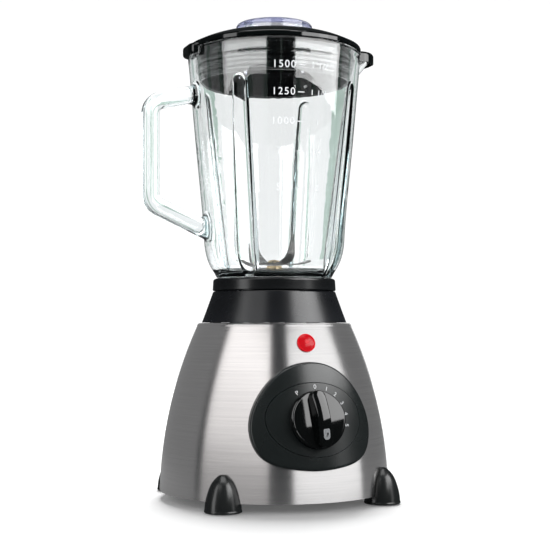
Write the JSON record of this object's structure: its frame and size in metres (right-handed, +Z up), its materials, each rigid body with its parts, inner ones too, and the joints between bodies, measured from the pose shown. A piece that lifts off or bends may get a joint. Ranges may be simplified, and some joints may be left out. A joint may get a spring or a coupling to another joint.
{
  "type": "countertop blender",
  "caption": "Countertop blender with a round tapered motor base, rotary speed dial, clear handled jug, blade unit, lid and measuring cap.",
  "frame": {"origin": "point on the table plane under the motor axis", "axes": "+Z up along the motor axis; -Y is the front with the control panel; -X is the jug's handle; +X is the pouring lip"},
  "size_m": [0.2022, 0.2037, 0.3818],
  "materials": {
    "brushed_shell": "brushed horizontally, satin",
    "neck_plastic": "satin black",
    "bezel_plastic": "satin black",
    "dial_plastic": "satin black, printed scale",
    "knob_plastic": "glossy black",
    "inlay_plastic": "light grey gloss",
    "switch_shaft_plastic": "natural",
    "switch_case": "matte",
    "switch_nut_steel": "zinc plated",
    "terminal_brass": "bare",
    "badge_red": "clear-coated dome",
    "foot_plastic": "satin black",
    "pad_rubber": "matte",
    "screw_steel": "zinc plated",
    "base_plastic": "fine texture",
    "gland_rubber": "matte",
    "shaft_steel": "ground",
    "fan_plastic": "matte",
    "lamination_steel": "laminated",
    "enamelled_copper": "varnished",
    "commutator_copper": "turned",
    "drive_rubber": "matte",
    "frame_aluminium": "die cast",
    "bronze": "sintered",
    "holder_plastic": "moulded",
    "carbon": "carbon",
    "spring_steel": "bright",
    "mount_rubber": "matte",
    "jug_glass": "clear, faint green at thick edges",
    "collar_plastic": "satin black",
    "floor_plastic": "satin black",
    "gasket_rubber": "translucent white",
    "brass_bush": "turned",
    "washer_steel": "bright",
    "blade_steel": "polished stainless",
    "lid_plastic": "smooth black",
    "seal_rubber": "smooth black",
    "clear_cap": "clear with a faint lavender tint"
  },
  "bodies": {
    "base": {"steel_shell": "brushed_shell", "neck_housing": "neck_plastic", "control_bezel": "bezel_plastic", "dial_plate": "dial_plastic", "switch_body": "switch_case", "switch_nut": "switch_nut_steel", "switch_terminals": "terminal_brass", "badge": "badge_red", "front_left_foot": "foot_plastic", "front_right_foot": "foot_plastic", "rear_left_foot": "foot_plastic", "rear_right_foot": "foot_plastic", "foot_pads": "pad_rubber", "foot_screws": "screw_steel", "base_plate": "base_plastic", "base_screws": "screw_steel", "cord_gland": "gland_rubber", "stator_core": "lamination_steel", "field_coils": "enamelled_copper", "upper_end_frame": "frame_aluminium", "lower_end_frame": "frame_aluminium", "upper_bearing": "bronze", "lower_bearing": "bronze", "brush_holders": "holder_plastic", "carbon_brushes": "carbon", "brush_springs": "spring_steel", "motor_bolts": "screw_steel", "rubber_mounts": "mount_rubber", "motor_mount_screws": "screw_steel"},
    "rotor": {"motor_shaft": "shaft_steel", "cooling_fan": "fan_plastic", "armature_core": "lamination_steel", "armature_windings": "enamelled_copper", "commutator": "commutator_copper", "motor_drive_coupling": "drive_rubber"},
    "knob": {"speed_knob": "knob_plastic", "knob_inlay": "inlay_plastic", "switch_shaft": "switch_shaft_plastic"},
    "jar": {"jar_glass": "jug_glass", "jar_collar": "collar_plastic", "blade_base": "floor_plastic", "blade_gasket": "gasket_rubber", "blade_bush": "brass_bush"},
    "blades": {"blade_shaft": "shaft_steel", "blade_washer": "washer_steel", "upper_blades": "blade_steel", "lower_blades": "blade_steel", "blade_nut": "brass_bush", "jar_drive_coupling": "drive_rubber"},
    "lid": {"lid": "lid_plastic", "lid_seal": "seal_rubber"},
    "cap": {"measuring_cap": "clear_cap"}
  },
  "joints": [
    {"name": "motor_spin", "type": "hinge", "parent": "base", "child": "rotor", "pos_m": [0, 0, 0.075], "axis": [0, 0, 1], "continuous": true},
    {"name": "knob_turn", "type": "hinge", "parent": "base", "child": "knob", "pos_m": [0, -0.08527, 0.0679], "axis": [0, -0.9789, 0.2041], "range_deg": [-106, 29]},
    {"name": "jar_lift", "type": "slide", "parent": "base", "child": "jar", "axis": [0, 0, 1], "range_m": [0, 0.1]},
    {"name": "blade_spin", "type": "hinge", "parent": "jar", "child": "blades", "pos_m": [0, 0, 0.18], "axis": [0, 0, 1], "continuous": true},
    {"name": "lid_lift", "type": "slide", "parent": "jar", "child": "lid", "axis": [0, 0, 1], "range_m": [0, 0.06]},
    {"name": "cap_lift", "type": "slide", "parent": "lid", "child": "cap", "axis": [0, 0, 1], "range_m": [0, 0.05]}
  ],
  "couplings": [
    {"joint": "blade_spin", "follows": "motor_spin", "ratio": 1}
  ]
}
